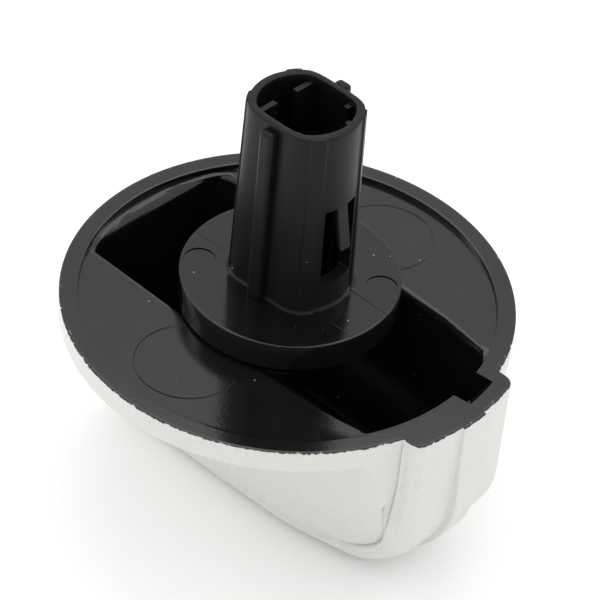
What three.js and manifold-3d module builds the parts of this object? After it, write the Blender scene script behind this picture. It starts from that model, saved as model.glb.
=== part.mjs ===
// Pointer-grip rotary control knob, seen from its back: a hollow moulded knob
// body, and a stem moulding that plugs into it and grips a D-shaped shaft.
//
// Millimetres. +Z runs along the stem towards the shaft it slides onto,
// +X points along the grip to its pointer, and Z = 0 is the grip's crest.
import * as THREE from 'three';
import * as BufferGeometryUtils from 'three/addons/utils/BufferGeometryUtils.js';
import Module from 'manifold-3d';

const wasm = await Module();
wasm.setup();

// ---------------------------------------------------------------- dimensions

const DISC_R = 24; // the skirt disc's outer radius; most sizes follow from it
const RIM_Z = 23.3; // the disc's back rim, above the crest of the grip
const RIM_WIDTH = 2;
const DISC_HEIGHT = 2.7; // from the rim to the disc's front face
const DISC_EDGE = 0.3; // chamfer round the disc's front edge
const FLOOR_DEPTH = 0.6; // the disc's floor lies this far below the rim
const FLOOR_Z = RIM_Z - FLOOR_DEPTH;
const WALL = 1.8;

const GRIP_REAR = -22; // the grip's rear face, inside the disc's edge
const GRIP_HALF = 11.9; // half width of the grip at the disc
const GRIP_DRAFT = 2.8; // each side draws in by this much down to the crest
const GRIP_BENDS = [[1.5, 3.2, 2.8], [8, 9, 3.8]]; // past each X: degrees in, and draft
const NOSE_DRAFT = 0.7; // the nose face draws back by this much to mid height
const CREST_FILLET = 4.4; // between the grip's sides and its crest
const CORNER_X = 17; // reach of the big corner between nose and crest
const CORNER_Z = 11;
const REAR_CORNER_X = 10;
const REAR_CORNER_Z = 19;
const REAR_STEP = 1; // the grip's rear stays this far inside the disc's edge
const BAND_HALF = 7.3; // half width of the proud band down the nose
const BAND_SIDE = 0.4; // at the crest it stands this far out of the flanks
const BAND_PROUD = 1.6; // the band stands this far out of the disc's edge
const RIB_HALF = 1.6; // half width of the pointer rib on the band
const RIB_PROUD = 1;
const PANEL_DEPTH = 0.5; // of the flat panel sunk in each side of the grip
const PANEL = { left: -15, right: 22.6, bottom: 1.9, corner: 5 };
const NOTCH = { x: 23.9, lowY: 1.3, highY: 5.3, depth: 4 }; // left by the mould's gate

const CLEARANCE = 0.3; // between any two separate pieces
const STEM_TOP = RIM_Z + 24.8;
const STEM_BASE_R = 6.35;
const STEM_TOP_R = 5.85;
const STEM_FLAT = 4.85; // the stem's two outer flats, from its axis
const BORE_R = 4.95;
const BORE_FLAT = 4.1;
const BORE_FLOOR = RIM_Z - 3.5;
const PAD_ANGLE = 34; // degrees from the grip's axis to each raised pad
const PAD_WIDTH = 1.6;
const PAD_PROUD = 0.2;
const KEY_R = 5.9; // the key ribs on the flats reach this radius
const KEY_WIDTH = 1.7;
const SHAFT_R = 4; // the D shaft that the socket takes: 8 mm across,
const SHAFT_FLAT = 2.5; // 6.5 mm over its flat
const SOCKET_RIB = 0.7; // thickness of the ribs that hold the shaft
const FLAT_RIB_GAP = 1.4; // half the gap between the two ribs behind the flat
const GUIDE_X = 2.4; // the short ribs on the flats
const GUIDE_Y = 1.6; // the ribs beside the front tongue

const FLANGE_R = 11.65;
const FLANGE_TOP = RIM_Z + 2.9;
const FLANGE_PLATE = 2;
const SPIGOT_BOTTOM = RIM_Z - 6;
const FIN_HALF = 7.2; // the spigot's fins reach almost to the grip's walls
const FIN_WIDTH = 1.8;
const PIN_MARK_R = 1.7; // ejector marks on the flange
const PIN_MARK_AT = 9.6;
const PIN_MARK_ANGLE = 35;
const PIN_MARK_DEPTH = 0.12;

const WINDOW_TOP = RIM_Z + 15.5; // the two windows round the snap tongues
const WINDOW_BOTTOM = RIM_Z + 6;
const WINDOW_HALF = 2.2;
const TONGUE_HALF = 0.77;
const TONGUE_BOTTOM = RIM_Z + 10.4;
const TONGUE_THICK = 0.8;
const TONGUE_FLARE = 1; // its tip stands this far out of the stem

const ROUND = 96; // segments round the large circles
const SMALL_ROUND = 48;

// ------------------------------------------------------------------- helpers

function toSolid(geometry) {
  const bare = geometry.clone();
  bare.deleteAttribute('normal');
  bare.deleteAttribute('uv');
  const merged = BufferGeometryUtils.mergeVertices(bare, 1e-5);
  return new wasm.Manifold(new wasm.Mesh({
    numProp: 3,
    vertProperties: new Float32Array(merged.attributes.position.array),
    triVerts: new Uint32Array(merged.index.array),
  }));
}

function toGeometry(solid) {
  const mesh = solid.getMesh();
  const geometry = new THREE.BufferGeometry();
  geometry.setAttribute('position', new THREE.BufferAttribute(mesh.vertProperties, 3));
  geometry.setIndex(new THREE.BufferAttribute(mesh.triVerts, 1));
  geometry.computeVertexNormals();
  return geometry;
}

// A solid of revolution about Z from [radius, z] points, listed upwards.
function turned(points, segments = ROUND) {
  const profile = points.map(([r, z]) => new THREE.Vector2(r, z));
  return toSolid(new THREE.LatheGeometry(profile, segments).rotateX(Math.PI / 2));
}

function disc(radius, low, high, segments = ROUND) {
  return turned([[0, low], [radius, low], [radius, high], [0, high]], segments);
}

function box(x0, x1, y0, y1, z0, z1) {
  return toSolid(new THREE.BoxGeometry(x1 - x0, y1 - y0, z1 - z0)
    .translate((x0 + x1) / 2, (y0 + y1) / 2, (z0 + z1) / 2));
}

function extrude(shape, depth, curveSegments = 16) {
  return new THREE.ExtrudeGeometry(shape, { depth, bevelEnabled: false, curveSegments });
}

// A side outline, drawn in X and Z, pulled through the grip's whole width.
const sidePrism = (shape, half) => toSolid(
  extrude(shape, 2 * half).rotateX(Math.PI / 2).translate(0, half, 0));

// A front outline, drawn in Y and Z, pulled along the grip's whole length.
const frontPrism = (shape, x0, x1) => toSolid(
  extrude(shape, x1 - x0).applyMatrix4(new THREE.Matrix4().set(
    0, 0, 1, x0,
    1, 0, 0, 0,
    0, 1, 0, 0,
    0, 0, 0, 1)));

function turnedAboutZ(solid, degrees) {
  return solid.rotate([0, 0, degrees]);
}

function union(solids) {
  return solids.reduce((whole, piece) => whole.add(piece));
}

// ------------------------------------------------------------ the knob body

// Side view of the grip: near-upright nose, a big corner, a level crest and
// a rounded rear. nose is the face's X at the rim, crest is the lowest Z.
function gripSide(nose, crest, rear) {
  const face = nose - NOSE_DRAFT;
  const shape = new THREE.Shape();
  shape.moveTo(nose, RIM_Z);
  shape.lineTo(rear, RIM_Z);
  shape.lineTo(rear, crest + REAR_CORNER_Z);
  shape.quadraticCurveTo(rear, crest, rear + REAR_CORNER_X, crest);
  shape.lineTo(face - CORNER_X, crest);
  shape.absellipse(face - CORNER_X, crest + CORNER_Z, CORNER_X, CORNER_Z,
    -Math.PI / 2, 0, false, 0);
  shape.closePath();
  return sidePrism(shape, DISC_R);
}

// A long block with one drafted side at Y = -half, rounded into the crest.
function flankBlock(half, draft, crest, fillet) {
  const foot = half - draft;
  const far = 2 * DISC_R;
  const shape = new THREE.Shape();
  shape.moveTo(-half, RIM_Z);
  shape.lineTo(-foot, crest + fillet);
  shape.quadraticCurveTo(-foot, crest, -foot + fillet, crest);
  shape.lineTo(far, crest);
  shape.lineTo(far, RIM_Z);
  shape.closePath();
  return frontPrism(shape, -far, far);
}

// All that lies inside one flank of the grip, which bends in towards the nose.
// side is -1 for the flank at -Y and 1 for the other.
function insideFlank(side, inset, crest, fillet) {
  const half = GRIP_HALF - inset;
  const facing = side < 0 ? 0 : 180;
  const straight = turnedAboutZ(flankBlock(half, GRIP_DRAFT, crest, fillet), facing);
  return GRIP_BENDS.reduce((whole, [x, degrees, draft]) => {
    const block = turnedAboutZ(flankBlock(half, draft, crest, fillet), facing);
    const bent = turnedAboutZ(block.translate([-x, -side * half, 0]), -side * degrees);
    return whole.intersect(bent.translate([x, side * half, 0]));
  }, straight);
}

const insideFlanks = (inset, crest, fillet) =>
  insideFlank(-1, inset, crest, fillet).intersect(insideFlank(1, inset, crest, fillet));

// The block of the grip below the disc or, with an inset, the hollow inside it.
function gripCore(inset) {
  const plan = disc(DISC_R - inset, 0, RIM_Z);
  return plan.intersect(plan.translate([REAR_STEP, 0, 0]))
    .intersect(gripSide(DISC_R - inset, inset, GRIP_REAR + inset))
    .intersect(insideFlanks(inset, inset - 0.1, CREST_FILLET));
}

// What is cut away to sink the flat panel in both sides of the grip.
function sidePanels() {
  const { left, right, bottom, corner } = PANEL;
  const top = RIM_Z - 1;
  const shape = new THREE.Shape();
  shape.moveTo(left, top);
  shape.lineTo(left, bottom + corner);
  shape.quadraticCurveTo(left, bottom, left + corner, bottom);
  shape.lineTo(right - 2 * corner, bottom);
  shape.quadraticCurveTo(right - 1, bottom, right - 0.6, bottom + 2 * corner);
  shape.lineTo(right, top);
  shape.closePath();
  return sidePrism(shape, DISC_R).subtract(insideFlanks(PANEL_DEPTH, -1, 0.1));
}

// The proud strip down the nose, or the pointer rib on it. It runs out into the
// crest from just above it, so the two never share a plane.
function noseStrip(half, proud) {
  const reach = DISC_R + proud;
  return disc(reach, 0, RIM_Z)
    .intersect(box(0, reach, -half, half, 0, RIM_Z))
    .intersect(gripSide(reach, 0.05 * proud, GRIP_REAR))
    .intersect(insideFlanks(-BAND_SIDE, -0.1, CREST_FILLET));
}

function knobBody() {
  const rim = turned([
    [0, RIM_Z - DISC_HEIGHT],
    [DISC_R - DISC_EDGE, RIM_Z - DISC_HEIGHT],
    [DISC_R, RIM_Z - DISC_HEIGHT + DISC_EDGE],
    [DISC_R, RIM_Z],
    [0, RIM_Z],
  ]);
  const outside = union([
    gripCore(0).subtract(sidePanels()),
    rim,
    noseStrip(BAND_HALF, BAND_PROUD),
    noseStrip(RIB_HALF, BAND_PROUD + RIB_PROUD),
  ]);
  const inner = disc(DISC_R - RIM_WIDTH, 0, RIM_Z + 1);
  const floor = disc(DISC_R - RIM_WIDTH, FLOOR_Z, RIM_Z + 1);
  const notch = box(0, NOTCH.x, NOTCH.lowY, NOTCH.highY, RIM_Z - NOTCH.depth, RIM_Z + 1)
    .subtract(disc(DISC_R - RIM_WIDTH - 1, 0, RIM_Z + 2));
  return outside.subtract(floor).subtract(gripCore(WALL).intersect(inner)).subtract(notch);
}

// --------------------------------------------------------- the stem moulding

const stemRadiusAt = (z) => THREE.MathUtils.mapLinear(
  z, FLANGE_TOP, STEM_TOP, STEM_BASE_R, STEM_TOP_R);

// A cone frustum on the stem's taper, grown by a margin.
function stemCone(low, high, margin = 0) {
  return turned([
    [0, low],
    [stemRadiusAt(low) + margin, low],
    [stemRadiusAt(high) + margin, high],
    [0, high],
  ], SMALL_ROUND);
}

function stemOutside() {
  const low = FLANGE_TOP - 1;
  const flats = box(-DISC_R, DISC_R, -STEM_FLAT, STEM_FLAT, low, STEM_TOP);
  const padBar = box(0, DISC_R, -PAD_WIDTH / 2, PAD_WIDTH / 2, low, STEM_TOP);
  const pads = [PAD_ANGLE, -PAD_ANGLE, 180 - PAD_ANGLE, 180 + PAD_ANGLE]
    .map((angle) => turnedAboutZ(padBar, angle));
  const keyTop = STEM_TOP - 0.8;
  const keys = [-1, 1].map((side) => {
    const top = side < 0 ? keyTop : STEM_TOP;
    const y = side * (KEY_R - KEY_WIDTH / 2);
    const nose = disc(KEY_WIDTH / 2, low, top, 16).translate([0, y, 0]);
    const [y0, y1] = [side * BORE_FLAT, y].sort((a, b) => a - b);
    return nose.add(box(-KEY_WIDTH / 2, KEY_WIDTH / 2, y0, y1, low, top));
  });
  return union([
    stemCone(low, STEM_TOP).intersect(flats),
    union(pads).intersect(stemCone(low, STEM_TOP, PAD_PROUD)).intersect(flats),
    ...keys,
  ]);
}

// The socket's bore, round with two flats, or with a margin a little wider.
function socketBore(low, high, margin = 0) {
  const flat = BORE_FLAT + margin;
  return disc(BORE_R + margin, low, high, SMALL_ROUND)
    .intersect(box(-DISC_R, DISC_R, -flat, flat, low, high));
}

// A bar along Y from inner out to reach, on the side of the given sign.
function sideBar(side, x0, x1, inner, reach, low, high) {
  const [y0, y1] = [side * inner, side * reach].sort((a, b) => a - b);
  return box(x0, x1, y0, y1, low, high);
}

// The ribs inside the socket touch a round of SHAFT_R and its one flat.
function socketRibs() {
  const low = BORE_FLOOR - 0.2;
  const high = STEM_TOP - 0.6;
  const reach = 2 * BORE_R;
  const guideInner = Math.sqrt(SHAFT_R ** 2 - GUIDE_X ** 2);
  const half = SOCKET_RIB / 2;
  const ribs = [-1, 1].flatMap((side) => [
    sideBar(side, -SHAFT_FLAT - SOCKET_RIB, -SHAFT_FLAT, FLAT_RIB_GAP, reach, low, high),
    sideBar(side, GUIDE_X - half, GUIDE_X + half, guideInner, reach, low, high),
    sideBar(side, SHAFT_R, reach, GUIDE_Y - half, GUIDE_Y + half, WINDOW_TOP, high),
  ]);
  return union(ribs).intersect(socketBore(low, high, 0.25));
}

function stemInsert() {
  const plateLow = FLANGE_TOP - FLANGE_PLATE;
  const skirtLow = FLOOR_Z + CLEARANCE;
  const flange = turned([
    [0, plateLow],
    [FLANGE_R - FLANGE_PLATE, plateLow],
    [FLANGE_R - FLANGE_PLATE, skirtLow],
    [FLANGE_R, skirtLow],
    [FLANGE_R, FLANGE_TOP],
    [0, FLANGE_TOP],
  ]);
  const spigot = disc(STEM_BASE_R, SPIGOT_BOTTOM, plateLow + 0.5, SMALL_ROUND);
  const fins = [0, 90].map((angle) => turnedAboutZ(
    box(-FIN_HALF, FIN_HALF, -FIN_WIDTH / 2, FIN_WIDTH / 2, SPIGOT_BOTTOM, plateLow + 0.5),
    angle));
  const windows = [-1, 1].map((side) => {
    const [x0, x1] = [side * SHAFT_R, side * DISC_R].sort((a, b) => a - b);
    return box(x0, x1, -WINDOW_HALF, WINDOW_HALF, WINDOW_BOTTOM, WINDOW_TOP);
  });
  const marks = [PIN_MARK_ANGLE, -PIN_MARK_ANGLE, 180 - PIN_MARK_ANGLE, 180 + PIN_MARK_ANGLE]
    .map((angle) => turnedAboutZ(
      disc(PIN_MARK_R, FLANGE_TOP - PIN_MARK_DEPTH, FLANGE_TOP + 1, 24)
        .translate([PIN_MARK_AT, 0, 0]), angle));
  return union([flange, spigot, ...fins, stemOutside()])
    .subtract(socketBore(BORE_FLOOR, STEM_TOP + 1))
    .subtract(union(windows))
    .add(socketRibs())
    .subtract(union(marks));
}

// A springy tongue that hangs in a window of the stem from its top edge and
// flares outwards to its tip, which snaps behind the panel's bush.
function snapTongue() {
  const outer = stemRadiusAt(WINDOW_TOP) - 0.1;
  const top = WINDOW_TOP - CLEARANCE;
  const shape = new THREE.Shape();
  shape.moveTo(outer, top);
  shape.lineTo(outer - TONGUE_THICK, top);
  shape.lineTo(outer - TONGUE_THICK + TONGUE_FLARE, TONGUE_BOTTOM + 0.5);
  shape.lineTo(outer + TONGUE_FLARE, TONGUE_BOTTOM);
  shape.closePath();
  return sidePrism(shape, TONGUE_HALF);
}

// ------------------------------------------------------------------ assembly

function part(name, solid, colour, roughness) {
  const material = new THREE.MeshStandardMaterial({ color: colour, roughness, metalness: 0 });
  const mesh = new THREE.Mesh(toGeometry(solid), material);
  mesh.name = name;
  return mesh;
}

const knob = new THREE.Group();
const rearTongue = part('snap_tongue_rear', snapTongue(), 0x17171a, 0.35);
rearTongue.rotation.z = Math.PI;
knob.add(
  part('knob_body', knobBody(), 0xd9d8d3, 0.5),
  part('stem_insert', stemInsert(), 0x141416, 0.35),
  part('snap_tongue_front', snapTongue(), 0x17171a, 0.35),
  rearTongue,
);

export default knob;
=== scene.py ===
# %% [markdown]
# # A pointer-grip rotary knob, lying upside down on its grip
# The knob is two plastic mouldings. The outer one is a round skirt with a hollow
# grip, sprayed silver on the outside only. The inner one is a black stem with a
# socket for the switch's shaft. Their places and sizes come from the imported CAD
# model, so it is loaded first and every new piece is built round it.

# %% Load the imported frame
import math

import bpy
import numpy as np
from mathutils import Matrix, Vector


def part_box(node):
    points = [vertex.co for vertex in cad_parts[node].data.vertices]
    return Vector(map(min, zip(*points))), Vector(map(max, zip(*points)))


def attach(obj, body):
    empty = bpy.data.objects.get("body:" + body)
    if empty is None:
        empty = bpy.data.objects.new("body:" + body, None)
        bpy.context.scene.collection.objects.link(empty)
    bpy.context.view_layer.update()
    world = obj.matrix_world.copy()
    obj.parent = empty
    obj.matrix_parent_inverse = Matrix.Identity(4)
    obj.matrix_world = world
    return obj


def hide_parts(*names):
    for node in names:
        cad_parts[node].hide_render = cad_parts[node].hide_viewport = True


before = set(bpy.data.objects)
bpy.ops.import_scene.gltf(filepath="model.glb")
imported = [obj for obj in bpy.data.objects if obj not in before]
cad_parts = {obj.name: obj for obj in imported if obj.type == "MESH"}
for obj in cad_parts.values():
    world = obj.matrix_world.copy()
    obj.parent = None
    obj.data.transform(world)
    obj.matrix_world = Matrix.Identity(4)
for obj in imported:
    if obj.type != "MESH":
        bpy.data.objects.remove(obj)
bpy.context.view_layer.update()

# %% [markdown]
# The shapes below are worked out in millimetres, as a toolmaker would, and turned
# to metres as they are placed. Heights and radii that the CAD model already holds
# could be typed in again, but then the two models could drift apart, so they are
# read from it.

# %% Sizes the frame already holds
MM = 0.001
RIM_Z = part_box("knob_body")[1][2] / MM  # the skirt's back rim
SKIRT_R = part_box("knob_body")[1][1] / MM
STEM_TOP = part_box("stem_insert")[1][2] / MM
FLANGE_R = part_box("stem_insert")[1][0] / MM
SPIGOT_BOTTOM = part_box("stem_insert")[0][2] / MM
TONGUE_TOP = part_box("snap_tongue_front")[1][2] / MM
TONGUE_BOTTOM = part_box("snap_tongue_front")[0][2] / MM
print(f"rim at {RIM_Z:.1f} mm, skirt radius {SKIRT_R:.1f} mm, stem top {STEM_TOP:.1f} mm")

# %% [markdown]
# ## The camera
# A long lens from about 290 mm away keeps the perspective flat. It looks down at
# 41 degrees from the near right and is rolled a little, so the grip's pointer comes
# towards the lower right. It is made first, because every later choice is judged
# through it. A "track to" constraint would aim it at one point, but couldn't give
# the small yaw and roll, so its matrix is built from single turns.

# %% The camera
VIEW_AZIMUTH, VIEW_ELEVATION = math.radians(40.0), 0.7116139
VIEW_DISTANCE = 12 * SKIRT_R * MM
VIEW_YAW, VIEW_PITCH, VIEW_ROLL = -0.0044165, -0.0020831, 0.0962534
camera_data = bpy.data.cameras.new("studio_camera")
camera_data.sensor_width, camera_data.lens = 36.0, 164.92
camera_data.clip_start, camera_data.clip_end = 0.01, 10.0
camera = bpy.data.objects.new("studio_camera", camera_data)
bpy.context.scene.collection.objects.link(camera)
back = Vector((math.sin(VIEW_AZIMUTH) * math.cos(VIEW_ELEVATION),
               -math.cos(VIEW_AZIMUTH) * math.cos(VIEW_ELEVATION),
               math.sin(VIEW_ELEVATION)))
turn = (Matrix.Rotation(VIEW_AZIMUTH, 4, "Z")
        @ Matrix.Rotation(math.pi / 2 - VIEW_ELEVATION, 4, "X")
        @ Matrix.Rotation(VIEW_YAW, 4, "Y")
        @ Matrix.Rotation(VIEW_PITCH, 4, "X")
        @ Matrix.Rotation(VIEW_ROLL, 4, "Z"))
camera.matrix_world = Matrix.Translation(
    Vector((0, 0, RIM_Z * MM)) + back * VIEW_DISTANCE) @ turn
bpy.context.scene.camera = camera
print("camera at", [round(v, 4) for v in camera.matrix_world.translation])

# %% [markdown]
# ## Helpers
# Operators act on whatever is selected, so each step starts from an empty
# selection. Curved walls are all made the same way: a flat grid is rolled up into
# a stack of closed rings, like a paper tube, and its two ends are closed. Weighted
# normals keep the small roundings from tinting the flats beside them, which a
# plain smooth shading would do.

# %% Clearing the selection
def clear_selection():
    if bpy.context.mode != "OBJECT":
        bpy.ops.object.mode_set(mode="OBJECT")
    bpy.ops.object.select_all(action="DESELECT")


# %% Smooth shading, with weighted normals where flats meet roundings
SMOOTH_ANGLE = math.radians(35)


def shade(piece, weighted=True):
    clear_selection()
    piece.select_set(True)
    bpy.context.view_layer.objects.active = piece
    bpy.ops.object.shade_smooth_by_angle(angle=SMOOTH_ANGLE)
    if weighted:
        weights = piece.modifiers.new("weights", "WEIGHTED_NORMAL")
        weights.keep_sharp = True
        bpy.ops.object.modifier_apply(modifier="weights")
    clear_selection()


# %% Closing a rolled mesh in edit mode
MERGE_DISTANCE = 2e-6


def close_mesh(piece):
    """Merges doubles, fills the open ends and points all faces outwards."""
    clear_selection()
    piece.select_set(True)
    bpy.context.view_layer.objects.active = piece
    bpy.ops.object.mode_set(mode="EDIT")
    bpy.ops.mesh.select_all(action="SELECT")
    bpy.ops.mesh.remove_doubles(threshold=MERGE_DISTANCE)
    bpy.ops.mesh.select_all(action="SELECT")
    bpy.ops.mesh.fill_holes(sides=0)
    bpy.ops.mesh.select_all(action="SELECT")
    bpy.ops.mesh.normals_make_consistent(inside=False)
    bpy.ops.object.mode_set(mode="OBJECT")


# %% Rolling a grid into rings
def rolled_grid(name, rings, edge_distance=None, weighted=True):
    """A grid primitive rolled into closed rings: an array [ring, point, xyz] in mm."""
    count, around = rings.shape[:2]
    clear_selection()
    bpy.ops.mesh.primitive_grid_add(
        x_subdivisions=around, y_subdivisions=count - 1, size=2)
    piece = bpy.context.object
    piece.name = piece.data.name = name
    flat = np.empty(len(piece.data.vertices) * 3)
    piece.data.vertices.foreach_get("co", flat)
    flat = flat.reshape(-1, 3)
    column = np.rint((flat[:, 0] + 1) / 2 * around).astype(int) % around
    row = np.rint((flat[:, 1] + 1) / 2 * (count - 1)).astype(int)
    piece.data.vertices.foreach_set("co", (rings[row, column] * MM).ravel())
    if edge_distance is not None:
        paint = piece.data.attributes.new("paint", "FLOAT", "POINT")
        paint.data.foreach_set("value", edge_distance[row, column].astype(np.float32))
    close_mesh(piece)
    shade(piece, weighted)
    print(f"{name}: {count} rings of {around}, {len(piece.data.polygons)} faces")
    return piece


# %% Small curves
def eased(value):
    """0 below 0, 1 above 1 and a smooth S between."""
    t = np.clip(value, 0, 1)
    return t * t * (3 - 2 * t)


def soft_min(first, second, width=0.25):
    """The smaller of two lengths, rounded over where they cross."""
    gap = np.clip(0.5 + 0.5 * (second - first) / width, 0, 1)
    return second * (1 - gap) + first * gap - width * gap * (1 - gap)


def bell(distance, width):
    return np.exp(-((distance / width) ** 2))


# %% [markdown]
# ## The outer moulding
# It is one continuous skin: up the inside of the grip, over the floor and the rim,
# down the skirt and round the grip's outside to its crest. Modelling it as one
# stack of rings, each the moulding's outline at one height, gives every fillet a
# smooth run and lets the sunk panel and the pointer rib follow the flanks. The
# alternative, joining blocks with booleans and bevelling them, breaks where
# slanting flanks, rounded crest and round skirt meet.

# %% Sizes of the skirt and the wall
SKIRT_HEIGHT = 2.7
LEDGE_Z = RIM_Z - SKIRT_HEIGHT
FLOOR_Z = RIM_Z - 0.6
RIM_INNER_R = 22.0
WALL = 1.8

# %% [markdown]
# The grip tapers from the skirt to its crest so that it leaves the mould, and its
# flanks draw in towards the nose, more so near the crest. The nose is almost
# upright, then turns into the crest with a wide elliptic corner. The rear slants
# along a parabola.

# %% How wide the grip is
GRIP_HALF, GRIP_DRAFT, CREST_FILLET = 11.9, 2.8, 4.4
GENTLE_BEND_X, GENTLE_SLOPE = 1.5, math.tan(math.radians(3.2))
STEEP_BEND_X, STEEP_SLOPE = 8.0, math.tan(math.radians(13.5))
BEND_SOFTNESS = 0.15


def flank_half(x, z):
    """Half the grip's width: drafted, rounded into the crest, drawn in to the nose."""
    low = np.maximum(z, CREST_FILLET)
    half = GRIP_HALF - GRIP_DRAFT * (RIM_Z - low) / (RIM_Z - CREST_FILLET)
    half = half - np.where(
        z < CREST_FILLET,
        CREST_FILLET * (1 - np.sqrt(np.clip(z, 0, None) / CREST_FILLET)) ** 2, 0)
    share = 1 - z / RIM_Z
    gentle = (x - GENTLE_BEND_X) * GENTLE_SLOPE * share
    steep = (x - STEEP_BEND_X) * STEEP_SLOPE * share
    drawn_in = np.log(1 + np.exp(gentle / BEND_SOFTNESS) + np.exp(steep / BEND_SOFTNESS))
    return half - BEND_SOFTNESS * drawn_in


# %% Where the nose and the rear are
NOSE_X, NOSE_DRAFT, NOSE_CORNER_X, NOSE_CORNER_Z = 24.0, 0.1, 12.5, 13.5
REAR_X, REAR_CORNER_X, REAR_CORNER_Z = -22.0, 10.0, 19.0


def nose_x(z, inset=0.0):
    """The nose's face: near upright, then a big elliptic corner into the crest."""
    face = NOSE_X - inset - NOSE_DRAFT
    drop = np.clip((NOSE_CORNER_Z + inset - z) / NOSE_CORNER_Z, 0, 1)
    low = face - NOSE_CORNER_X + NOSE_CORNER_X * np.sqrt(1 - drop**2)
    high = face + NOSE_DRAFT * (z - NOSE_CORNER_Z) / (RIM_Z - NOSE_CORNER_Z)
    return np.where(z > NOSE_CORNER_Z, high, low)


def rear_x(z, inset=0.0):
    share = 1 - np.sqrt(np.clip((z - inset) / REAR_CORNER_Z, 0, 1))
    return REAR_X + inset + REAR_CORNER_X * share**2


# %% [markdown]
# Each flank has a panel sunk half a millimetre. Its edge is a rounded rectangle,
# slanted at the nose. A cutter could sink it, but would leave a hard edge on the
# bent flank. Here the distance to the panel's edge drives the step, and near the
# nose also a fine groove and the raised lip beside it.

# %% The sunk panel's edge
PANEL_LEFT, PANEL_RIGHT, PANEL_TOP, PANEL_BOTTOM = -15.0, 22.85, 20.2, 2.6
PANEL_SLANT, SLANT_TOP = 0.09, 17.0
NOSE_TOP_CORNER, NOSE_LOW_CORNER, REAR_TOP_CORNER, REAR_LOW_CORNER = 2.2, 7.0, 3.0, 5.0


def panel_right(z):
    return PANEL_RIGHT - PANEL_SLANT * np.maximum(0, SLANT_TOP - z)


def panel_distance(x, z):
    """Distance in from the panel's edge, in mm: negative outside it."""
    along = x + PANEL_RIGHT - panel_right(z) - (PANEL_LEFT + PANEL_RIGHT) / 2
    up = z - (PANEL_TOP + PANEL_BOTTOM) / 2
    radius = np.where(along > 0, np.where(up > 0, NOSE_TOP_CORNER, NOSE_LOW_CORNER),
                      np.where(up > 0, REAR_TOP_CORNER, REAR_LOW_CORNER))
    over = np.stack([np.abs(along) - (PANEL_RIGHT - PANEL_LEFT) / 2 + radius,
                     np.abs(up) - (PANEL_TOP - PANEL_BOTTOM) / 2 + radius])
    outside = np.hypot(np.maximum(over[0], 0), np.maximum(over[1], 0))
    return radius - outside - np.minimum(np.maximum(over[0], over[1]), 0)


# %% The step, groove and lip along that edge
PANEL_DEPTH, PANEL_STEP = 0.5, 0.35
GROOVE_DEPTH, GROOVE_PLACE, GROOVE_WIDTH = 0.35, 0.22, 0.16
LIP_HEIGHT, LIP_PLACE, LIP_WIDTH = 0.14, -0.28, 0.2
GROOVE_FROM_X, GROOVE_FADE_X = 13, 6
GROOVE_TO_Z, GROOVE_FADE_Z = 20, 4


def panel_relief(x, z):
    """What the panel, its groove and its lip add to the flank's half width."""
    inside = panel_distance(x, z)
    nose_side = (eased((x - GROOVE_FROM_X) / GROOVE_FADE_X)
                 * eased((GROOVE_TO_Z - z) / GROOVE_FADE_Z))
    relief = -PANEL_DEPTH * eased((inside + 0.05) / PANEL_STEP)
    relief = relief - GROOVE_DEPTH * nose_side * bell(inside - GROOVE_PLACE, GROOVE_WIDTH)
    return relief + nose_side * LIP_HEIGHT * bell(inside - LIP_PLACE, LIP_WIDTH)


# %% [markdown]
# A band as wide as the nose stands proud of it, with a narrow rib down its middle
# that points at the dial. In the outline of one height they are a run of points
# from the rib's middle to the foot of the band's side, where the panel's groove
# begins. Four groups of points share out the columns, so a rib's corner is always
# on the same column and its edge stays crisp from the rim to the crest.

# %% The pointer rib and the band
BAND_HALF, BAND_PROUD = 7.4, 1.85
BAND_ROUND, BAND_ROUND_GROWTH, GROWTH_TOP, GROWTH_HEIGHT = 1.3, 1.4, 13, 10
BAND_OVER_FLANK, OVER_FLANK_Z, OVER_FLANK_HEIGHT = 0.35, 5, 5
RIB_PROUD_LOW, RIB_PROUD_HIGH, RIB_FADE_Z, RIB_FADE_HEIGHT = 0.75, 0.35, 8, 14
FACE_START_Y = 2.1
SIDE_LIP, SIDE_LIP_PLACE, SIDE_LIP_WIDTH = 0.16, 0.22, 0.13
RIB_Y = np.concatenate([np.linspace(0, 1.4, 5), [1.55, 1.6, 1.64, 1.68, 1.75]])
RIB_SHARE = np.array([1, 1, 1, 1, 1, 0.94, 0.78, 0.4, 0.08, 0])
FACE_COLUMNS, SIDE_COLUMNS = 12, 9
band_turns = np.radians(np.linspace(15, 90, 6))
BAND_COLUMNS = len(RIB_Y) + FACE_COLUMNS + len(band_turns) + SIDE_COLUMNS


def band_x(y, z):
    arc = np.sqrt((NOSE_X + BAND_PROUD) ** 2 - y**2)
    return soft_min(arc, nose_x(z) + BAND_PROUD, 0.4)


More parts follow.
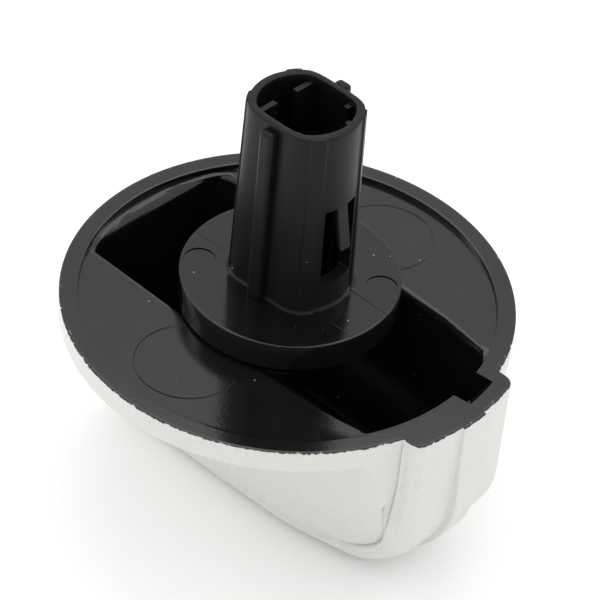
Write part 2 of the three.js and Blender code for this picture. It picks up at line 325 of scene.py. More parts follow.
def band_outline(z, groove_x):
    """Rib face, band face, rounded corner and side, as x and y runs."""
    rib_fade = eased((z - RIB_FADE_Z) / RIB_FADE_HEIGHT)
    rib_proud = RIB_PROUD_LOW + (RIB_PROUD_HIGH - RIB_PROUD_LOW) * rib_fade
    over_flank = BAND_OVER_FLANK * eased((z - OVER_FLANK_Z) / OVER_FLANK_HEIGHT)
    half = np.minimum(BAND_HALF, flank_half(groove_x, z) + over_flank)
    rounding = BAND_ROUND + BAND_ROUND_GROWTH * eased((GROWTH_TOP - z) / GROWTH_HEIGHT)
    face_y = np.linspace(FACE_START_Y, half - rounding, FACE_COLUMNS)
    corner_x = band_x(half - rounding, z)
    side_x = np.linspace(corner_x - rounding, groove_x, SIDE_COLUMNS + 1)[1:]
    lip = (SIDE_LIP * eased((RIM_Z - 0.3 - z) / 0.8)
           * bell(side_x - groove_x - SIDE_LIP_PLACE, SIDE_LIP_WIDTH))
    x = [band_x(RIB_Y, z) + rib_proud * RIB_SHARE, band_x(face_y, z),
         corner_x - rounding * (1 - np.cos(band_turns)), side_x]
    y = [RIB_Y, face_y, half - rounding * (1 - np.sin(band_turns)), half + lip]
    return x, y


# %% [markdown]
# The rest of the outline is the flank, the rounded corner behind it and the flat
# rear. The flank's columns lie closer together towards the nose, where it bends and
# where the panel's edge has its groove. Even columns would do as well, but it would
# take many more of them to keep that edge crisp.

# %% The flank and the rear
FLANK_COLUMNS, REAR_COLUMNS, REAR_ROUND = 112, 12, 3.0
flank_steps = np.linspace(0, 1, FLANK_COLUMNS)
flank_steps = 0.45 * flank_steps + 0.55 * flank_steps**2  # closer together at the nose
rear_turns = np.radians(np.linspace(12, 90, 7))


def flank_outline(z, groove_x):
    """The flank, kept inside the skirt's round, then the corner and the rear."""
    rear = rear_x(z)
    first, last = groove_x - 0.1, rear + REAR_ROUND
    flank_x = first + (last - first) * flank_steps
    skirt_y = np.sqrt(SKIRT_R**2 - np.minimum(flank_x**2, SKIRT_R**2 - 1))
    flank_y = soft_min(flank_half(flank_x, z) + panel_relief(flank_x, z), skirt_y)
    corner_y = flank_y[-1]
    x = [flank_x, last - REAR_ROUND * np.sin(rear_turns), np.full(REAR_COLUMNS, rear)]
    y = [flank_y, corner_y - REAR_ROUND * (1 - np.cos(rear_turns)),
         np.linspace(corner_y - REAR_ROUND, 0, REAR_COLUMNS + 1)[1:]]
    return x, y


# %% The outline of the knob's outside at one height
def half_outline(z):
    """From the pointer, along the +Y flank, to the middle of the rear."""
    groove_x = np.minimum(panel_right(z), nose_x(z) - 0.6)
    band, flank = band_outline(z, groove_x), flank_outline(z, groove_x)
    return np.stack([np.concatenate(band[0] + flank[0]),
                     np.concatenate(band[1] + flank[1])], 1)


def whole_ring(half, z):
    """The half outline and its mirror image, with heights: [point, xyz]."""
    heights = np.broadcast_to(np.asarray(z, float), (len(half),))
    near = np.column_stack([half, heights])
    far = near[-2:0:-1] * [1, -1, 1]
    return np.concatenate([near, far])


HALF_COLUMNS = len(half_outline(10.0))
print(f"{HALF_COLUMNS} columns on each side of the knob")

# %% [markdown]
# The skirt's rings keep to the round, but on the proud band they follow the band,
# which runs right up to the rim. Below the skirt its flat front runs in to the
# grip and meets it in a small fillet. Near the nose the grip reaches the skirt's
# round, the flat shrinks to nothing, and the rings there drop straight down.

# %% Rings of the skirt
outer_rings = []
ledge_outline, rim_outline = half_outline(LEDGE_Z), half_outline(RIM_Z)
angles = np.arctan2(rim_outline[:, 1], rim_outline[:, 0])
on_band = np.arange(HALF_COLUMNS) < BAND_COLUMNS
round_outline = SKIRT_R * np.stack([np.cos(angles), np.sin(angles)], 1)
ledge = SKIRT_R - np.hypot(*ledge_outline.T)
ledge_share = np.where(on_band, 0, eased(ledge / 2.5))


def moved_out(line, distance):
    return line * (1 + distance / np.hypot(*line.T))[:, None]


def skirt_outline(z, inset):
    line = np.where(on_band[:, None], half_outline(z), round_outline)
    return moved_out(line, -inset * (ledge_share if z < RIM_Z - 1 else 1))


for depth, inset in ((0, 0.35), (0, 0.14), (0.04, 0.04), (0.14, 0), (0.5, 0), (1.0, 0),
                     (1.5, 0), (2.0, 0), (2.4, 0), (2.56, 0.04), (2.66, 0.14), (2.7, 0.3)):
    outer_rings.append(whole_ring(skirt_outline(RIM_Z - depth, inset), RIM_Z - depth))
print(f"{len(outer_rings)} rings on the skirt")

# %% Rings across the skirt's front and round the fillet
FRONT_FILLET, FRONT_STEP = 0.8, 0.1
front_edge = skirt_outline(LEDGE_Z, 0.3)
front_foot = moved_out(ledge_outline, FRONT_FILLET * ledge_share)
for step, share in enumerate((0.4, 0.75, 1.0)):
    drop = FRONT_STEP * (step + 1)
    line = np.where(on_band[:, None], half_outline(LEDGE_Z - drop),
                    front_edge * (1 - share) + front_foot * share)
    outer_rings.append(whole_ring(line, LEDGE_Z - drop * (1 - ledge_share)))
for turn_degrees in (22, 45, 68, 90):
    swing = math.radians(turn_degrees)
    drop = 0.3 + (FRONT_FILLET - 0.3) * turn_degrees / 90
    z = LEDGE_Z - (FRONT_FILLET * (1 - math.cos(swing)) * ledge_share
                   + drop * (1 - ledge_share))
    line = moved_out(half_outline(LEDGE_Z - drop),
                     FRONT_FILLET * (1 - math.sin(swing)) * ledge_share)
    outer_rings.append(whole_ring(line, z))

# %% [markdown]
# The grip's rings are evenly spaced down to the nose's corner. Below it they
# follow equal turns of the corner, so they lie closer where the outline changes
# fastest. A last, smaller ring on the crest's plane gives its flat a clean border.

# %% Rings of the grip
CREST_MIDDLE_X, CREST_BORDER = -2.0, 0.93
grip_heights = list(np.arange(LEDGE_Z - 1.05, NOSE_CORNER_Z, -0.28))
for swing in np.radians(np.linspace(90, 1, 52)):
    grip_heights.append(NOSE_CORNER_Z * (1 - math.cos(swing)))
for z in grip_heights + [0.0]:
    outer_rings.append(whole_ring(half_outline(z), z))
crest = outer_rings[-1].copy()
crest[:, 0] = (crest[:, 0] - CREST_MIDDLE_X) * CREST_BORDER + CREST_MIDDLE_X
crest[:, 1] *= CREST_BORDER
outer_rings.append(crest)
print(f"{len(outer_rings)} rings outside")

# %% [markdown]
# Inside, rings run the other way: across the flat rim, down the small step to the
# floor, over the rolled edge and down the hollow. Beside the pointer a notch sets the
# rim's inner edge back. The hollow keeps an even wall under the grip's outside,
# because thick spots would sink as the plastic cools. A solidify modifier could make
# such a wall, but it would copy the panels and the pointer rib to the inside too.

# %% How far the hollow reaches in each direction
HOLLOW_BEND_X, HOLLOW_BEND = 13, 0.115
SQUARENESS = 30.0  # how sharply the hollow's corners turn
ring_angles = np.concatenate([angles, -angles[-2:0:-1]])
ring_cos, ring_sin = np.cos(ring_angles), np.sin(ring_angles)


def hollow_radius(z):
    """The hollow's wall, as a distance from the stem's axis, for each column."""
    reach = np.full(len(ring_angles), RIM_INNER_R)
    ahead, behind = np.clip(ring_cos, 1e-3, None), np.clip(-ring_cos, 1e-3, None)
    aside = np.clip(np.abs(ring_sin), 1e-3, None)
    end = np.minimum(nose_x(z, WALL) / ahead, -rear_x(z, WALL) / behind)
    outside_z = np.maximum(z - WALL, 0)
    for _ in range(6):
        along = reach * ring_cos
        drawn_in = WALL + HOLLOW_BEND * np.maximum(0, along - HOLLOW_BEND_X)
        side = (flank_half(along, outside_z) - drawn_in) / aside
        limits = np.stack([np.full_like(side, RIM_INNER_R), np.clip(side, 1, None), end])
        reach = np.sum(limits**-SQUARENESS, axis=0) ** (-1 / SQUARENESS)
    return reach


# %% The notch, and a ring from radii
NOTCH_LOW_Y, NOTCH_HIGH_Y, NOTCH_R, NOTCH_DEPTH = 1.3, 5.3, 24.1, 4.0


def notched(radius, z):
    y = radius * ring_sin
    inside = (y > NOTCH_LOW_Y) & (y < NOTCH_HIGH_Y) & (ring_cos > 0)
    return np.where(inside & (z > RIM_Z - NOTCH_DEPTH), NOTCH_R, radius)


def polar_ring(radius, z):
    heights = np.broadcast_to(np.asarray(z, float), radius.shape)
    return np.column_stack([radius * ring_cos, radius * ring_sin, heights])


# %% Rings of the rim and the floor
ROLLED_EDGE = 1.2
inner_rings = []
mouth = hollow_radius(FLOOR_Z)
floor_share = eased((RIM_INNER_R - mouth - 0.2) / 2.0)
rim_r = np.full(len(ring_angles), RIM_INNER_R)
for out, drop in ((0.35, 0), (0.14, 0), (0.04, 0.04), (0, 0.14), (0, 0.44), (-0.04, 0.56)):
    inner_rings.append(polar_ring(notched(rim_r + out, RIM_Z), RIM_Z - drop))
floor_end = np.minimum(mouth + ROLLED_EDGE * floor_share, rim_r)
for step, share in enumerate((0.04, 0.5, 0.96, 1.0)):
    radius = notched(rim_r * (1 - share) + floor_end * share, RIM_Z)
    inner_rings.append(polar_ring(
        radius, FLOOR_Z - 0.09 * (step + 1) * (1 - floor_share)))

# %% Rings of the rolled edge and of the hollow's wall
for turn_degrees in (15, 30, 45, 60, 75, 90):
    swing = math.radians(turn_degrees)
    z = FLOOR_Z - (ROLLED_EDGE * (1 - math.cos(swing)) * floor_share
                   + (0.36 + 0.84 * turn_degrees / 90) * (1 - floor_share))
    radius = mouth + ROLLED_EDGE * (1 - math.sin(swing)) * floor_share
    inner_rings.append(polar_ring(notched(radius, RIM_Z), z))
notch_floor = RIM_Z - NOTCH_DEPTH
wall_heights = [20.5, notch_floor + 0.01, notch_floor - 0.01, *np.arange(18.5, 5, -0.75),
                4.4, 3.8, 3.2, 2.7, 2.3, 2.0, 1.85, WALL]
for z in wall_heights:
    inner_rings.append(polar_ring(notched(hollow_radius(z), z), z))
print(f"{len(inner_rings)} rings inside")

# %% [markdown]
# With all rings stacked, the grid is rolled up. Each point also keeps how far it
# lies outside the painted edge, in millimetres, for the paint to stop there later.
# An image mask could do that too, but would need unwrapping and would go soft.

# %% Roll the outer moulding's skin
PAINT_START, BARE, RIM_BARE = 0.1, -3.0, -1.9
rings = np.stack(inner_rings[::-1] + outer_rings)
paint_rings = np.full(rings.shape[:2], BARE)
paint_rings[len(inner_rings) - 1] = RIM_BARE
paint_rings[len(inner_rings):] = RIM_Z - rings[len(inner_rings):, :, 2] - PAINT_START
knob_skin = rolled_grid("knob_skin", rings, paint_rings)
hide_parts("knob_body")
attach(knob_skin, "knob")

# %% [markdown]
# ## The stem moulding
# Flange, stem and socket are turned shapes with flats, so they too are rings round
# the stem's axis: up the spigot, round the flange, up the stem, over its end and
# down the socket. Four low pads run up the stem and steady it in its bush. A lathe
# profile with a screw modifier would give the round parts, but not flats and pads.

# %% Sizes of the stem
FLANGE_TOP = RIM_Z + 2.9
STEM_BASE_R, STEM_END_R, STEM_FLAT, STEM_FLAT_EASE = 6.35, 5.85, 4.85, 0.9
BORE_R, BORE_FLAT, BORE_FLAT_EASE = 4.95, 4.1, 0.8
BORE_FLOOR = RIM_Z - 3.5
PAD_ANGLES, PAD_HALF, PAD_PROUD, PAD_STEP = (34, 146, 214, 326), 0.8, 0.2, 0.12
stem_angles = np.radians(np.arange(0, 360, 1.0))
stem_across = np.clip(np.abs(np.sin(stem_angles)), 1e-3, None)


# %% Outlines of the stem and of its socket
def stem_radius(z):
    share = (z - FLANGE_TOP) / (STEM_TOP - FLANGE_TOP)
    return STEM_BASE_R + (STEM_END_R - STEM_BASE_R) * share


def stem_reach(z):
    reach = np.full(len(stem_angles), stem_radius(z))
    for degrees in PAD_ANGLES:
        turned = stem_angles - math.radians(degrees)
        inside = PAD_HALF + PAD_STEP / 2 - np.abs(stem_radius(z) * np.sin(turned))
        reach += PAD_PROUD * (np.cos(turned) > 0) * eased(inside / PAD_STEP)
    return soft_min(reach, STEM_FLAT / stem_across, STEM_FLAT_EASE)


def stem_ring(radius, z):
    radius = np.broadcast_to(np.asarray(radius, float), stem_angles.shape)
    return np.column_stack([radius * np.cos(stem_angles), radius * np.sin(stem_angles),
                            np.full(len(stem_angles), z)])


socket_reach = soft_min(np.full(len(stem_angles), BORE_R), BORE_FLAT / stem_across,
                        BORE_FLAT_EASE)

# %% Rings of the spigot and the flange
ROOT_FILLET = 0.35
stem_rings = [stem_ring(r, z) for r, z in (
    (STEM_BASE_R - 0.4, SPIGOT_BOTTOM), (STEM_BASE_R, SPIGOT_BOTTOM + 0.4),
    (STEM_BASE_R, FLANGE_TOP - 2.3), (STEM_BASE_R + 0.3, FLANGE_TOP - 2.0),
    (FLANGE_R - 2.0, FLANGE_TOP - 2.0), (FLANGE_R - 2.0, FLOOR_Z + 0.4),
    (FLANGE_R - 1.9, FLOOR_Z + 0.3), (FLANGE_R - 0.1, FLOOR_Z + 0.3),
    (FLANGE_R, FLOOR_Z + 0.4), (FLANGE_R, FLANGE_TOP - 1.5), (FLANGE_R, FLANGE_TOP - 0.14),
    (FLANGE_R - 0.04, FLANGE_TOP - 0.04), (FLANGE_R - 0.14, FLANGE_TOP),
    (FLANGE_R - 0.25, FLANGE_TOP))]
stem_rings.append(stem_ring(stem_reach(FLANGE_TOP) + 0.5, FLANGE_TOP))
for degrees in (0, 30, 60, 90):
    swing = math.radians(degrees)
    stem_rings.append(stem_ring(stem_reach(FLANGE_TOP) + ROOT_FILLET * (1 - math.sin(swing)),
                                FLANGE_TOP + ROOT_FILLET * (1 - math.cos(swing))))
print(f"{len(stem_rings)} rings up to the stem's root")

# %% Rings of the stem, its end and the socket
for z in np.linspace(FLANGE_TOP + 1.5, STEM_TOP - 0.5, 12):
    stem_rings.append(stem_ring(stem_reach(z), z))
for inset, drop in ((0, 0.16), (0.05, 0.05), (0.16, 0)):
    stem_rings.append(stem_ring(stem_reach(STEM_TOP) - inset, STEM_TOP - drop))
for out, drop in ((0.12, 0), (0.04, 0.04), (0, 0.12)):
    stem_rings.append(stem_ring(socket_reach + out, STEM_TOP - drop))
for z in np.linspace(STEM_TOP - 1, BORE_FLOOR + 0.3, 8):
    stem_rings.append(stem_ring(socket_reach, z))
stem_rings.append(stem_ring(socket_reach - 0.3, BORE_FLOOR))
stem_skin = rolled_grid("stem_skin", np.stack(stem_rings), weighted=False)

# %% [markdown]
# Straight details are bars: a cube primitive stretched to size, its edges bevelled
# in edit mode. The same call makes shaft ribs, key ribs, fins and the windows'
# cutters, so all of them catch the light along soft edges of one kind.

# %% A bevelled bar
def bar(name, low, high, bevel=0.1, segments=2):
    """A box from its low corner to its high one, in mm, with bevelled edges."""
    clear_selection()
    middle = [(a + b) / 2 * MM for a, b in zip(low, high)]
    bpy.ops.mesh.primitive_cube_add(size=1, location=middle)
    piece = bpy.context.object
    piece.name = piece.data.name = name
    piece.scale = [(b - a) * MM for a, b in zip(low, high)]
    bpy.ops.object.transform_apply(location=True, rotation=True, scale=True)
    if bevel:
        bpy.ops.object.mode_set(mode="EDIT")
        bpy.ops.mesh.select_all(action="SELECT")
        bpy.ops.mesh.bevel(offset=bevel * MM, segments=segments, affect="EDGES")
        bpy.ops.object.mode_set(mode="OBJECT")
    return piece


# %% Cutting one piece with another
def cut(piece, cutter):
    clear_selection()
    bpy.context.view_layer.objects.active = piece
    piece.select_set(True)
    knife = piece.modifiers.new("cut", "BOOLEAN")
    knife.operation, knife.solver, knife.object = "DIFFERENCE", "EXACT", cutter
    bpy.ops.object.modifier_apply(modifier="cut")
    bpy.data.objects.remove(cutter)


# %% Joining pieces into one object
def join(name, pieces):
    clear_selection()
    for piece in pieces:
        piece.select_set(True)
    bpy.context.view_layer.objects.active = pieces[0]
    bpy.ops.object.join()
    joined = bpy.context.object
    joined.name = joined.data.name = name
    shade(joined)
    print(f"{name}: {len(joined.data.polygons)} faces")
    return joined


# %% [markdown]
# A window on each side of the stem gives a snap tongue room to bend in. Four shallow
# round marks in the flange show where ejector pins stood. Both could be drawn into
# the rings, but every ring would then need points for them all the way up, so boxes
# and cylinders cut them out. The exact solver copes with walls that cross at a slant.

# %% Windows cut into the stem
WINDOW_TOP, WINDOW_BOTTOM, WINDOW_HALF = RIM_Z + 15.5, RIM_Z + 6, 2.2
WINDOW_INNER, WINDOW_OUTER, WINDOW_ROUND = 3.9, 9, 0.25
for side in (-1, 1):
    low_x, high_x = sorted((side * WINDOW_INNER, side * WINDOW_OUTER))
    cut(stem_skin, bar("window", (low_x, -WINDOW_HALF, WINDOW_BOTTOM),
                       (high_x, WINDOW_HALF, WINDOW_TOP), WINDOW_ROUND))

# %% Pin marks cut into the flange
PIN_R, PIN_CIRCLE_R, PIN_DEPTH = 1.7, 9.6, 0.12
for degrees in (35, 145, 215, 325):
    swing = math.radians(degrees)
    clear_selection()
    bpy.ops.mesh.primitive_cylinder_add(
        vertices=64, radius=PIN_R * MM, depth=1 * MM,
        location=(PIN_CIRCLE_R * MM * math.cos(swing), PIN_CIRCLE_R * MM * math.sin(swing),
                  (FLANGE_TOP - PIN_DEPTH + 0.5) * MM))
    cut(stem_skin, bpy.context.object)
shade(stem_skin, weighted=False)
print("stem_skin cut:", len(stem_skin.data.polygons), "faces")

# %% [markdown]
# The shaft has one flat. Two ribs in the socket press on that flat, the others on
# the shaft's round. Outside, a key rib runs up each of the stem's flats and stops
# the stem from turning in its bush. All of them run into the wall behind them, so
# no gap shows. The spigot's fins are hidden under the flange, where they hold the
# stem in the outer moulding.

# %% Ribs that hold the shaft
rib_low, rib_high = BORE_FLOOR - 0.2, STEM_TOP - 0.6
shaft_ribs = []
for side in (-1, 1):
    for x_low, x_high, inner, outer, low in (
            (-3.2, -2.5, 1.4, 3.95, rib_low), (2.05, 2.75, 3.2, 4.3, rib_low),
            (4.0, 5.1, 1.25, 1.95, WINDOW_TOP + 0.1)):
        y_low, y_high = sorted((side * inner, side * outer))
        shaft_ribs.append(bar("rib", (x_low, y_low, low), (x_high, y_high, rib_high)))
shaft_ribs = join("shaft_ribs", shaft_ribs)

# %% Key ribs on the stem's flats
KEY_HALF, KEY_INNER, KEY_OUTER, KEY_ROUND = 0.85, 4.6, 5.9, 0.42
key_ribs = []
for side, top in ((-1, STEM_TOP - 0.8), (1, STEM_TOP)):
    y_low, y_high = sorted((side * KEY_INNER, side * KEY_OUTER))
    key_ribs.append(bar("key", (-KEY_HALF, y_low, FLANGE_TOP - 0.2),
                        (KEY_HALF, y_high, top), KEY_ROUND, 4))
key_ribs = join("key_ribs", key_ribs)

# %% Fins of the spigot
FIN_REACH, FIN_HALF = 7.2, 0.9
fins = join("spigot_fins", [
    bar("fin", (-x, -y, SPIGOT_BOTTOM), (x, y, FLANGE_TOP - 1.9), 0.2)
    for x, y in ((FIN_REACH, FIN_HALF), (FIN_HALF, FIN_REACH))])

# %% [markdown]
# Where the mould's halves met, a hair of plastic stands up. On the flange these
# parting lines are two straight ridges beside the stem, 0.1 mm wide, so they are
# real bars and not a drawn line.

# %% Parting lines on the flange
PARTING_Y, PARTING_HALF = 2.64, 0.05
lines = []
for y in (-PARTING_Y, PARTING_Y):
    for low_x, high_x in ((-FLANGE_R + 0.35, -5.4), (5.4, FLANGE_R - 0.35)):
        lines.append(bar("line", (low_x, y - PARTING_HALF, FLANGE_TOP - 0.1),
                         (high_x, y + PARTING_HALF, FLANGE_TOP + 0.05), 0.03))
parting_lines = join("parting_lines", lines)

# %% [markdown]
# ## The snap tongues
# A snap tongue is a thin tapered leaf that hangs from the window's top edge and
# leans out at its tip. It is moulded in one with the stem, so its root runs on
# into the wall above and hides there when the leaf bends. A bar whose corners are
# moved to the taper is enough, and its bevel then follows the slant.

# %% A leaf from a bar
TONGUE_HALF, TONGUE_THICK, TONGUE_FLARE, TONGUE_ROUND = 0.77, 0.8, 1.0, 0.14
ROOT_HIDDEN, TIP_SLANT = 0.35, 0.45
TIP_THINNING, ROOT_NARROWING = 0.85, 0.94


def snap_tongue(name, side):
    outer = stem_radius(WINDOW_TOP) - 0.1
    leaf = bar(name, (0, -TONGUE_HALF, 0), (1, TONGUE_HALF, 1), bevel=0)
    for vertex in leaf.data.vertices:
        tip, out = vertex.co.z < 0.5 * MM, vertex.co.x > 0.5 * MM
        lean = TONGUE_FLARE if tip else 0.0
        thick = TONGUE_THICK * (TIP_THINNING if tip else 1.0)
        x = outer + lean - (0 if out else thick)
        z = TONGUE_BOTTOM + (0 if out else TIP_SLANT) if tip else TONGUE_TOP + ROOT_HIDDEN
        vertex.co.x, vertex.co.z = side * x * MM, z * MM
        vertex.co.y *= 1.0 if tip else ROOT_NARROWING
    bpy.context.view_layer.objects.active = leaf
    leaf.select_set(True)
    bpy.ops.object.mode_set(mode="EDIT")
    bpy.ops.mesh.select_all(action="SELECT")
    bpy.ops.mesh.normals_make_consistent(inside=False)
    bpy.ops.mesh.bevel(offset=TONGUE_ROUND * MM, segments=3, affect="EDGES")
    bpy.ops.object.mode_set(mode="OBJECT")
    shade(leaf)
    return leaf


# %% The two tongues, and what each piece of the stem replaces and rides on
tongue_front = snap_tongue("tongue_leaf_front", 1)
tongue_rear = snap_tongue("tongue_leaf_rear", -1)
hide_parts("snap_tongue_front")
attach(tongue_front, "tongue_front")
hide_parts("snap_tongue_rear")
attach(tongue_rear, "tongue_rear")
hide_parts("stem_insert")
for piece in (stem_skin, shaft_ribs, key_ribs, fins, parting_lines):
    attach(piece, "knob")
print("tongues", [round(v, 4) for v in tongue_front.dimensions])

# %% [markdown]
# ## Pin rings
# Ejector pins push the moulding off its core and leave a fine ring where each one
# stood. Two wide rings lie on the floor beside the flange. Each is a thin torus sunk
# to its middle, cut off with a bisect where the floor ends in the rolled edge.

# %% Pin rings on the floor
PIN_RING_Y, PIN_RING_R, PIN_RING_LINE, FLOOR_EDGE_Y = 14.9, 5.5, 0.07, 11.2
pin_rings = []
for side in (-1, 1):
    clear_selection()
    bpy.ops.mesh.primitive_torus_add(
        major_radius=PIN_RING_R * MM, minor_radius=PIN_RING_LINE * MM, major_segments=96,
        minor_segments=8, location=(0, side * PIN_RING_Y * MM, FLOOR_Z * MM))
    ring = bpy.context.object
    bpy.ops.object.transform_apply(location=True, rotation=True, scale=True)
    bpy.ops.object.mode_set(mode="EDIT")
    bpy.ops.mesh.select_all(action="SELECT")
    bpy.ops.mesh.bisect(plane_co=(0, side * FLOOR_EDGE_Y * MM, 0),
                        plane_no=(0, side, 0), clear_inner=True, use_fill=True)
    bpy.ops.object.mode_set(mode="OBJECT")
    pin_rings.append(ring)
pin_rings = join("pin_rings", pin_rings)
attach(pin_rings, "knob")

# %% [markdown]
# ## Materials
# Both mouldings are black ABS. Moulded ABS has an index of refraction near 1.5 and
# takes its gloss from the mould: polished for floor and flange, spark-eroded and
# so duller for the stem. Noise nodes in the object's own metres give even grain
# at true size on every face, with no unwrapping.

# %% Colours and nodes
def linear(code):
    """An sRGB hex colour as the linear RGBA that nodes take."""
    values = [int(code[i:i + 2], 16) / 255 for i in (1, 3, 5)]
    return [v / 12.92 if v <= 0.04045 else ((v + 0.055) / 1.055) ** 2.4 for v in values] + [1.0]


def add(tree, kind, links=None, **settings):
    """Adds one node, sets it, and links its inputs from {input: output socket}."""
    node = tree.nodes.new(kind)
    for name, value in settings.items():
        if hasattr(node, name):
            setattr(node, name, value)
        else:
            node.inputs[name.replace("_", " ")].default_value = value
    for name, socket in (links or {}).items():
        tree.links.new(socket, node.inputs[name])
    return node


def new_material(name):
    material = bpy.data.materials.new(name)
    material.use_nodes = True
    material.node_tree.nodes.clear()
    return material, material.node_tree


# %% [markdown]
# Dust specks are cells of a Voronoi pattern 1.3 mm across, kept only where the
# cell's random colour is high, so a few show. Each is a dot about 0.15 mm wide.

# %% Dust on black plastic
DUST_CELLS, DUST_DOT, DUST_RARITY = 760.0, 0.06, 0.86


def dust_mask(tree, place):
    cells = add(tree, "ShaderNodeTexVoronoi", {"Vector": place}, feature="F1",
                Scale=DUST_CELLS)
    dot = add(tree, "ShaderNodeMath", {0: cells.outputs["Distance"]}, operation="LESS_THAN")
    dot.inputs[1].default_value = DUST_DOT
    pick = add(tree, "ShaderNodeSeparateColor", {"Color": cells.outputs["Color"]})
    few = add(tree, "ShaderNodeMath", {0: pick.outputs["Red"]}, operation="GREATER_THAN")
    few.inputs[1].default_value = DUST_RARITY
    both = add(tree, "ShaderNodeMath", {0: dot.outputs[0], 1: few.outputs[0]},
               operation="MULTIPLY")
    return both.outputs[0]


# %% The surface of bare ABS
ABS_BLACK, ABS_GREY, DUST = "#0c0c0e", "#121214", "#b4b4b1"
POLISHED, SPARK_ERODED = (0.12, 0.18), (0.34, 0.42)


def abs_surface(tree, place, roughness_range):
    """Colour and roughness of bare ABS, and the height of its fine texture."""
    clouds = add(tree, "ShaderNodeTexNoise", {"Vector": place}, Scale=180.0, Detail=3.0)
    tint = add(tree, "ShaderNodeMix", {"Factor": clouds.outputs["Fac"]}, data_type="RGBA")
    tint.inputs[6].default_value, tint.inputs[7].default_value = (
        linear(ABS_BLACK), linear(ABS_GREY))
    dusty = add(tree, "ShaderNodeMix", {"Factor": dust_mask(tree, place)}, data_type="RGBA")
    tree.links.new(tint.outputs[2], dusty.inputs[6])
    dusty.inputs[7].default_value = linear(DUST)
    rough = add(tree, "ShaderNodeMapRange", {"Value": clouds.outputs["Fac"]},
                To_Min=roughness_range[0], To_Max=roughness_range[1])
    grain = add(tree, "ShaderNodeTexNoise", {"Vector": place}, Scale=2600.0, Detail=2.0)
    return dusty.outputs[2], rough.outputs[0], grain.outputs["Fac"]


# %% Black moulded ABS, polished and spark-eroded
def abs_material(name, roughness_range, specular):
    material, tree = new_material(name)
    place = add(tree, "ShaderNodeTexCoord").outputs["Object"]
    colour, roughness, height = abs_surface(tree, place, roughness_range)
    bump = add(tree, "ShaderNodeBump", {"Height": height}, Strength=0.12, Distance=0.00004)
    shell = add(tree, "ShaderNodeBsdfPrincipled",
                {"Base Color": colour, "Roughness": roughness, "Normal": bump.outputs[0]},
                IOR=1.5, Specular_IOR_Level=specular)
    add(tree, "ShaderNodeOutputMaterial", {"Surface": shell.outputs[0]})
    return material


black_abs = abs_material("black_abs_polished_mould", POLISHED, 0.42)
satin_abs = abs_material("black_abs_spark_eroded_mould", SPARK_ERODED, 0.2)
for pieces, material in (((stem_skin, fins, parting_lines, pin_rings), black_abs),
                         ((shaft_ribs, key_ribs, tongue_front, tongue_rear), satin_abs)):
    for piece in pieces:
        piece.data.materials.clear()
        piece.data.materials.append(material)
stem_skin.data.materials.append(satin_abs)
for face in stem_skin.data.polygons:
    face.material_index = int(face.center.z > (FLANGE_TOP + 0.02) * MM)
print("ABS on", stem_skin.name, "and the small pieces")

# %% [markdown]
# The outer moulding is sprayed with a silver paint whose fine flakes give it a soft
# grain. Masking stopped the paint in a ragged line just under the rim. Noise is
# added to each point's distance from that edge before the cut between paint and
# plastic, so the line wanders like a torn one.

# %% How far the paint reaches
painted_abs, tree = new_material("silver_paint_on_abs")
place = add(tree, "ShaderNodeTexCoord").outputs["Object"]
edge = add(tree, "ShaderNodeAttribute", attribute_name="paint")
ragged = add(tree, "ShaderNodeTexNoise", {"Vector": place}, Scale=1900.0, Detail=4.0,
             Roughness=0.7)
jitter = add(tree, "ShaderNodeMapRange", {"Value": ragged.outputs["Fac"]},
             From_Min=0.3, From_Max=0.7, To_Min=-0.14, To_Max=0.14)
reach = add(tree, "ShaderNodeMath", {0: edge.outputs["Fac"], 1: jitter.outputs[0]},
            operation="ADD")
covered = add(tree, "ShaderNodeMapRange", {"Value": reach.outputs[0]},
              From_Min=0.0, From_Max=0.05)

# %% Silver paint over the ABS
PAINT_LIGHT, PAINT_DARK, PAINT_ROUGHNESS = "#dddcd8", "#cac9c5", 0.5
colour, roughness, height = abs_surface(tree, place, POLISHED)
flakes = add(tree, "ShaderNodeTexNoise", {"Vector": place}, Scale=3200.0, Detail=2.0)
silver = add(tree, "ShaderNodeMix", {"Factor": flakes.outputs["Fac"]}, data_type="RGBA")
silver.inputs[6].default_value, silver.inputs[7].default_value = (
    linear(PAINT_DARK), linear(PAINT_LIGHT))
mixed = add(tree, "ShaderNodeMix", {"Factor": covered.outputs[0]}, data_type="RGBA")
tree.links.new(colour, mixed.inputs[6])
tree.links.new(silver.outputs[2], mixed.inputs[7])
gloss = add(tree, "ShaderNodeMix", {"Factor": covered.outputs[0]}, data_type="FLOAT")
tree.links.new(roughness, gloss.inputs[2])
gloss.inputs[3].default_value = PAINT_ROUGHNESS
relief = add(tree, "ShaderNodeMath", {0: height, 1: covered.outputs[0]}, operation="ADD")
bump = add(tree, "ShaderNodeBump", {"Height": relief.outputs[0]}, Strength=0.15,
           Distance=0.00005)
shell = add(tree, "ShaderNodeBsdfPrincipled",
            {"Base Color": mixed.outputs[2], "Roughness": gloss.outputs[0],
             "Normal": bump.outputs[0]}, IOR=1.5)
add(tree, "ShaderNodeOutputMaterial", {"Surface": shell.outputs[0]})
knob_skin.data.materials.clear()
knob_skin.data.materials.append(painted_abs)
print("silver paint on", knob_skin.name)

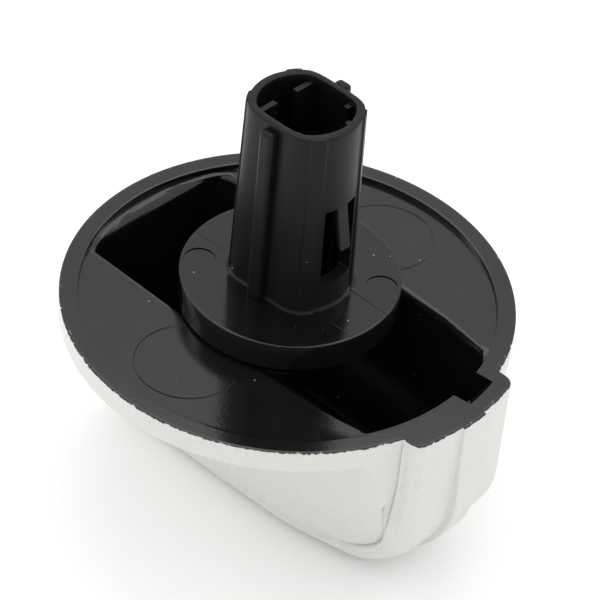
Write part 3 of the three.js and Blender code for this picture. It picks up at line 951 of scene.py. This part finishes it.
# %% [markdown]
# ## Studio
# A white floor and a white surround stand for a light tent. Two tall soft boxes
# beside the knob draw the bright lines down the stem, and one above lights the
# floor. Bare lamps would leave hard glints on the polished plastic.

# %% The floor
FLOOR_WHITE, FLOOR_DROP = 0.97, 0.0001
clear_selection()
bpy.ops.mesh.primitive_plane_add(size=4, location=(0, 0, -FLOOR_DROP))
floor = bpy.context.object
floor.name = "studio_floor"
pale, tree = new_material("white_studio_floor")
paper = add(tree, "ShaderNodeBsdfDiffuse", Color=(FLOOR_WHITE,) * 3 + (1.0,))
add(tree, "ShaderNodeOutputMaterial", {"Surface": paper.outputs[0]})
floor.data.materials.append(pale)

# %% The white surround
world = bpy.data.worlds.new("light_tent")
bpy.context.scene.world = world
world.use_nodes = True
world.node_tree.nodes.clear()
sky = add(world.node_tree, "ShaderNodeBackground", Color=(1, 1, 1, 1), Strength=1.0)
add(world.node_tree, "ShaderNodeOutputWorld", {"Surface": sky.outputs[0]})
bpy.context.scene.view_settings.view_transform = "Standard"

# %% Soft boxes
right = Vector((math.cos(VIEW_AZIMUTH), math.sin(VIEW_AZIMUTH), 0))
away = Vector((-math.sin(VIEW_AZIMUTH), math.cos(VIEW_AZIMUTH), 0))
target = Vector((0, 0, 0.03))
for name, spot, width, height, power in (
        ("softbox_left", -right * 0.40 + away * 0.12 + Vector((0, 0, 0.22)), 0.12, 0.4, 0.5),
        ("softbox_right", right * 0.40 + away * 0.20 + Vector((0, 0, 0.22)), 0.08, 0.4, 0.35),
        ("softbox_top", away * 0.25 + Vector((0, 0, 0.55)), 0.4, 0.4, 0.6)):
    lamp_data = bpy.data.lights.new(name, "AREA")
    lamp_data.shape, lamp_data.size, lamp_data.size_y = "RECTANGLE", width, height
    lamp_data.energy = power
    lamp = bpy.data.objects.new(name, lamp_data)
    bpy.context.scene.collection.objects.link(lamp)
    lamp.location = spot
    lamp.rotation_mode = "QUATERNION"
    lamp.rotation_quaternion = (target - spot).to_track_quat("-Z", "Y")
print("three soft boxes round the knob")
